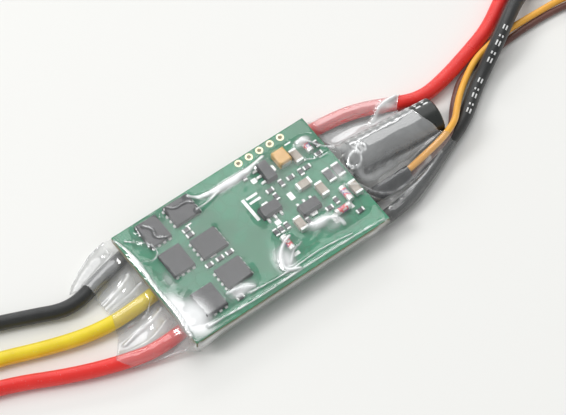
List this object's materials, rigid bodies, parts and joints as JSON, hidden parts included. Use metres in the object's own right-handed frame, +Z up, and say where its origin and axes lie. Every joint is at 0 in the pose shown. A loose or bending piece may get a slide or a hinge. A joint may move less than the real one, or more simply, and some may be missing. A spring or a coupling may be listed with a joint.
{
  "type": "electronic speed controller",
  "caption": "Brushless motor speed controller board in clear heat-shrink film, with storage capacitor, silicone power leads and a signal lead with a plug.",
  "frame": {"origin": "on the flat underside of the heat-shrink sleeve, below the middle of the circuit board", "axes": "+X along the board towards the battery end, +Z up through the component side, +Y across the board"},
  "size_m": [0.2305, 0.0358, 0.0088],
  "materials": {
    "solder_mask": "green solder mask on glass fibre board",
    "tinned_copper": "bright tin",
    "gold_pad": "gold flash",
    "chip_black": "moulded epoxy",
    "tantalum_case": "moulded epoxy, yellow",
    "ceramic_body": "fired ceramic",
    "resistor_body": "glazed",
    "diode_glass": "clear glass over a red die",
    "capacitor_jacket": "shrunk PVC jacket",
    "capacitor_aluminium": "bright drawn can",
    "stopper_rubber": "moulded",
    "silicone_black": "silicone insulation",
    "silicone_yellow": "silicone insulation",
    "silicone_red": "silicone insulation",
    "signal_orange": "PVC insulation",
    "signal_brown": "PVC insulation",
    "lead_coil": "PVC insulation",
    "sleeve_dark": "heat-shrink",
    "plug_plastic": "moulded nylon",
    "clear_film": "clear heat-shrink film"
  },
  "bodies": {
    "root": {"bare_pads": "tinned_copper", "battery_wire_black": "silicone_black", "battery_wire_black_tip": "tinned_copper", "battery_wire_red": "silicone_red", "battery_wire_red_tip": "tinned_copper", "capacitor_can": "capacitor_aluminium", "capacitor_jacket": "capacitor_jacket", "capacitor_leads": "tinned_copper", "capacitor_stopper": "stopper_rubber", "ceramic_capacitors": "ceramic_body", "ceramic_capacitors_ends": "tinned_copper", "circuit_board": "solder_mask", "coil_strap": "sleeve_dark", "glass_diodes": "diode_glass", "glass_diodes_ends": "tinned_copper", "heat_shrink_sleeve": "clear_film", "microcontroller": "chip_black", "microcontroller_leads": "tinned_copper", "mosfet_1": "chip_black", "mosfet_2": "chip_black", "mosfet_3": "chip_black", "mosfet_4": "chip_black", "mosfet_5": "chip_black", "mosfet_6": "chip_black", "mosfet_leads": "tinned_copper", "motor_wire_black": "silicone_black", "motor_wire_black_tip": "tinned_copper", "motor_wire_red": "silicone_red", "motor_wire_red_tip": "tinned_copper", "motor_wire_yellow": "silicone_yellow", "motor_wire_yellow_tip": "tinned_copper", "plug_contacts": "gold_pad", "plug_housing": "plug_plastic", "programming_pads": "gold_pad", "regulator_1": "chip_black", "regulator_1_leads": "tinned_copper", "regulator_2": "chip_black", "regulator_2_leads": "tinned_copper", "regulator_3": "chip_black", "regulator_3_leads": "tinned_copper", "resonator": "ceramic_body", "shunt_resistors": "resistor_body", "shunt_resistors_ends": "tinned_copper", "signal_lead_coil": "lead_coil", "signal_sleeve": "sleeve_dark", "signal_wire_brown": "signal_brown", "signal_wire_cores": "tinned_copper", "signal_wire_orange": "signal_orange", "small_resistors": "resistor_body", "small_resistors_ends": "tinned_copper", "solder_joints": "tinned_copper", "tantalum_capacitor": "tantalum_case", "tantalum_terminals": "tinned_copper", "underside_resistors": "resistor_body", "underside_resistors_ends": "tinned_copper", "wire_cores": "tinned_copper"}
  },
  "joints": []
}
